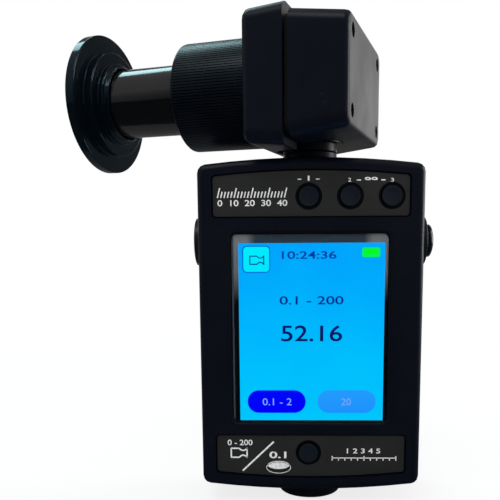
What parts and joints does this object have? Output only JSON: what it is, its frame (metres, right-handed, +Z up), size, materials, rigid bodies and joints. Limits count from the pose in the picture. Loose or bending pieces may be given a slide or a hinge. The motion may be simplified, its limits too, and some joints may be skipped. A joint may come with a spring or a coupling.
{
  "type": "handheld photometer",
  "caption": "Handheld light meter: flat display body with a swivelling sensor head, knurled lock collar and a contact tube ending in a stepped flange.",
  "frame": {"origin": "middle of the display body's flat back face", "axes": "+Z up along the upright body towards the sensor head, +Y out of the back away from the display, +X to the right for someone who reads the display"},
  "size_m": [0.1073, 0.0661, 0.1409],
  "materials": {
    "case_plastic": "fine moulded grain, near black, slightly blue",
    "panel_plastic": null,
    "button_plastic": "satin moulded black",
    "switch_plastic": "plain dark grey moulding",
    "window_glass": "polished clear window",
    "display_face": "lit blue colour display",
    "circuit_board": "green solder mask",
    "screw_steel": "turned steel",
    "spring_steel": "bright spring steel",
    "cell_steel": "nickel-plated can",
    "seal_rubber": "dull black rubber",
    "black_anodised": "black anodised, knurled or turned",
    "gloss_anodised": "polished black anodised",
    "lens_glass": "polished coated optical glass"
  },
  "bodies": {
    "case": {"front_cover": "case_plastic", "back_cover": "case_plastic", "cover_screw_1": "screw_steel", "cover_screw_2": "screw_steel", "cover_screw_3": "screw_steel", "cover_screw_4": "screw_steel", "top_panel": "panel_plastic", "bottom_panel": "panel_plastic", "display_window": "window_glass", "display_module": "display_face", "display_frame": "switch_plastic", "main_board": "circuit_board", "lamp_switch": "switch_plastic", "recall_switch": "switch_plastic", "store_switch": "switch_plastic", "display_switch": "spring_steel", "measure_switch": "switch_plastic", "measure_ring": "button_plastic", "left_side_plug": "button_plastic", "battery_sleeve": "switch_plastic", "battery_cell": "cell_steel", "battery_spring": "spring_steel", "neck_bush": "black_anodised", "bush_nut": "screw_steel"},
    "head": {"swivel_neck": "black_anodised", "spring_washer": "spring_steel", "retaining_clip": "spring_steel", "head_front": "case_plastic", "head_rear": "case_plastic", "head_seal": "seal_rubber", "head_screw_1": "screw_steel", "head_screw_2": "screw_steel", "head_screw_3": "screw_steel", "head_screw_4": "screw_steel", "sensor_board": "circuit_board", "photodiode": "cell_steel", "head_spigot": "black_anodised", "filter_glass": "lens_glass"},
    "attachment": {"contact_tube": "gloss_anodised", "aperture_stop": "black_anodised", "objective_lens": "lens_glass", "lens_ring": "black_anodised", "contact_flange": "gloss_anodised"},
    "collar": {"knurled_collar": "black_anodised"},
    "lamp_button": {"lamp_button": "button_plastic"},
    "recall_button": {"recall_button": "button_plastic"},
    "store_button": {"store_button": "button_plastic"},
    "display_button": {"display_button": "button_plastic"},
    "measure_button": {"measure_button": "button_plastic"},
    "battery_cap": {"battery_cap": "button_plastic"}
  },
  "joints": [
    {"name": "head_swivel", "type": "hinge", "parent": "case", "child": "head", "pos_m": [0, -0.012, 0.06826], "axis": [0, 0, 1], "range_deg": [-208, 62]},
    {"name": "attachment_slide", "type": "slide", "parent": "head", "child": "attachment", "axis": [-0.9578, 0.2874, 0], "range_m": [0, 0.012]},
    {"name": "collar_turn", "type": "hinge", "parent": "attachment", "child": "collar", "pos_m": [0, -0.012, 0.06826], "axis": [-0.9578, 0.2874, 0], "range_deg": [0, 60]},
    {"name": "lamp_press", "type": "slide", "parent": "case", "child": "lamp_button", "axis": [0, 1, 0], "range_m": [0, 0.0006], "stiffness_N_per_m": 400},
    {"name": "recall_press", "type": "slide", "parent": "case", "child": "recall_button", "axis": [0, 1, 0], "range_m": [0, 0.0006], "stiffness_N_per_m": 400},
    {"name": "store_press", "type": "slide", "parent": "case", "child": "store_button", "axis": [0, 1, 0], "range_m": [0, 0.0006], "stiffness_N_per_m": 400},
    {"name": "display_press", "type": "slide", "parent": "case", "child": "display_button", "axis": [0, 1, 0], "range_m": [0, 0.0006], "stiffness_N_per_m": 400},
    {"name": "measure_press", "type": "slide", "parent": "case", "child": "measure_button", "axis": [-1, 0, 0], "range_m": [0, 0.0012], "stiffness_N_per_m": 400},
    {"name": "battery_cap_release", "type": "slide", "parent": "case", "child": "battery_cap", "axis": [0, 0, -1], "range_m": [0, 0.01]}
  ]
}
